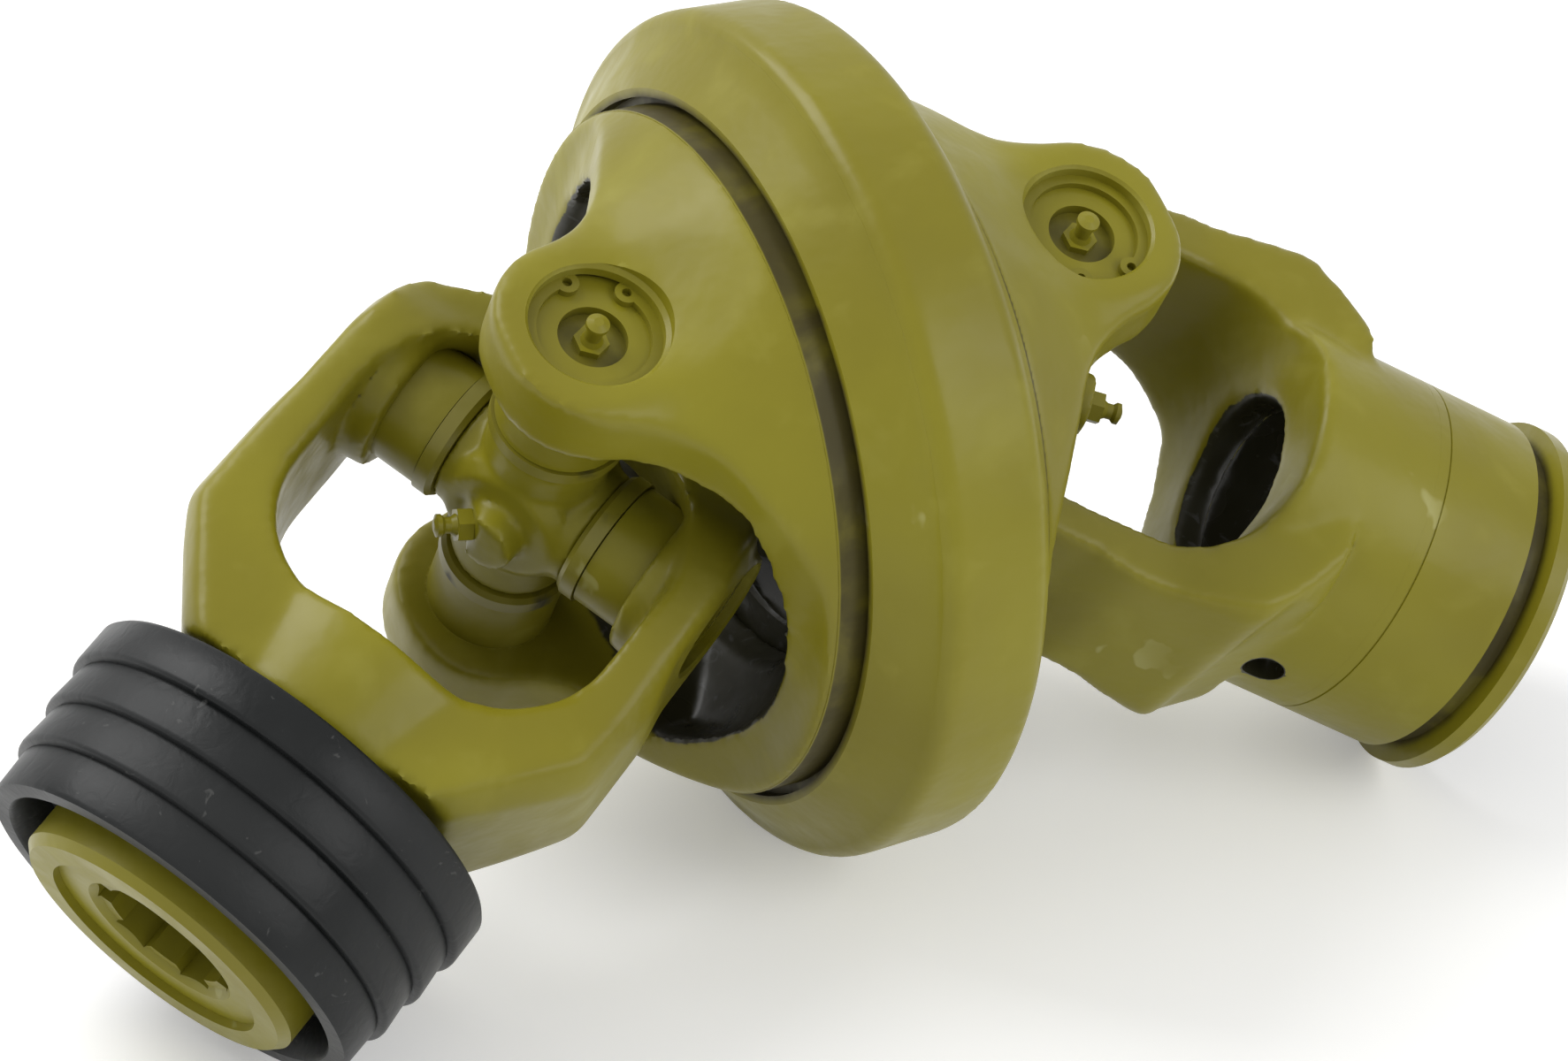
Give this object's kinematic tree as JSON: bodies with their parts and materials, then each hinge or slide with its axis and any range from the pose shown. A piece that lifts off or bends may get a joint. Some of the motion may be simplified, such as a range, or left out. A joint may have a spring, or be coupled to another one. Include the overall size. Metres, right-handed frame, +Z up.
{
  "type": "double cardan joint",
  "caption": "Wide-angle drive shaft joint: splined yoke with locking collar, round housing with control disc, and tube yoke, painted olive yellow.",
  "frame": {"origin": "centre of the bounding box on the floor the joint lies on", "axes": "+X along the housing from the splined end to the tube end, +Z up from the three rims that the joint lies on"},
  "size_m": [0.391, 0.1978, 0.1978],
  "materials": {
    "painted_steel": "glossy olive yellow paint over forged and turned steel",
    "collar_plastic": "scuffed charcoal plastic with a grey sheen",
    "seal_rubber": "dull black rubber under thin paint",
    "bright_steel": "ground bearing steel under grease",
    "greased_steel": "dark machined steel under grease"
  },
  "bodies": {
    "housing": {"flanged_yoke": "painted_steel", "ring_yoke": "painted_steel", "housing_lock_ring": "bright_steel", "cup_front_housing_far": "painted_steel", "rollers_front_housing_far": "bright_steel", "clip_front_housing_far": "painted_steel", "cup_front_housing_near": "painted_steel", "rollers_front_housing_near": "bright_steel", "clip_front_housing_near": "painted_steel", "cup_nipple_front": "painted_steel", "cup_back_housing_far": "painted_steel", "rollers_back_housing_far": "bright_steel", "clip_back_housing_far": "painted_steel", "cup_back_housing_near": "painted_steel", "rollers_back_housing_near": "bright_steel", "clip_back_housing_near": "painted_steel", "cup_nipple_back": "painted_steel"},
    "front_cross": {"seal_front_housing_far": "seal_rubber", "seal_front_housing_near": "seal_rubber", "seal_front_yoke_far": "seal_rubber", "seal_front_yoke_near": "seal_rubber", "cross_front": "painted_steel", "cross_nipple_front": "painted_steel"},
    "front_yoke": {"cup_front_yoke_far": "painted_steel", "rollers_front_yoke_far": "bright_steel", "clip_front_yoke_far": "painted_steel", "cup_front_yoke_near": "painted_steel", "rollers_front_yoke_near": "bright_steel", "clip_front_yoke_near": "painted_steel", "splined_yoke": "painted_steel", "locking_balls": "bright_steel", "guide_pin_front": "bright_steel", "collar_stop_ring": "painted_steel"},
    "back_cross": {"seal_back_housing_far": "seal_rubber", "seal_back_housing_near": "seal_rubber", "seal_back_yoke_far": "seal_rubber", "seal_back_yoke_near": "seal_rubber", "cross_back": "painted_steel", "cross_nipple_back": "painted_steel"},
    "back_yoke": {"cup_back_yoke_far": "painted_steel", "rollers_back_yoke_far": "bright_steel", "clip_back_yoke_far": "painted_steel", "cup_back_yoke_near": "painted_steel", "rollers_back_yoke_near": "bright_steel", "clip_back_yoke_near": "painted_steel", "tube_yoke": "painted_steel", "guide_pin_back": "bright_steel"},
    "cover": {"disc_cover_ring": "greased_steel"},
    "disc": {"control_disc": "greased_steel"},
    "collar": {"locking_collar": "collar_plastic"}
  },
  "joints": [
    {"name": "front_fork_swing", "type": "hinge", "parent": "housing", "child": "front_cross", "pos_m": [-0.06128, 0, 0.09911], "axis": [0.0035, -0.425, 0.9052], "range_deg": [-68, 2]},
    {"name": "front_yoke_swing", "type": "hinge", "parent": "front_cross", "child": "front_yoke", "pos_m": [-0.06128, 0, 0.09911], "axis": [0.5432, -0.7592, -0.3586], "range_deg": [-34.4, 7.6]},
    {"name": "back_fork_swing", "type": "hinge", "parent": "housing", "child": "back_cross", "pos_m": [0.06072, 0, 0.09863], "axis": [0.0035, -0.425, 0.9052], "range_deg": [-2, 68]},
    {"name": "back_yoke_swing", "type": "hinge", "parent": "back_cross", "child": "back_yoke", "pos_m": [0.06072, 0, 0.09863], "axis": [-0.546, -0.7592, -0.3543], "range_deg": [-7.6, 34.4]},
    {"name": "cover_slide", "type": "slide", "parent": "housing", "child": "cover", "axis": [0.0035, -0.425, 0.9052], "range_m": [-0.03063, 0.00684]},
    {"name": "disc_slide", "type": "slide", "parent": "cover", "child": "disc", "axis": [-0.0017, -0.9052, -0.425], "range_m": [-0.00176, 0.05647]},
    {"name": "collar_pull", "type": "slide", "parent": "front_yoke", "child": "collar", "axis": [-0.8175, -0.3811, -0.4317], "range_m": [-0.01, 0]}
  ],
  "couplings": [
    {"joint": "back_fork_swing", "follows": "front_fork_swing", "ratio": -1},
    {"joint": "back_yoke_swing", "follows": "front_yoke_swing", "ratio": -1},
    {"joint": "cover_slide", "follows": "front_yoke_swing", "m_per_rad": 0.050844},
    {"joint": "disc_slide", "follows": "front_fork_swing", "m_per_rad": -0.047497}
  ]
}
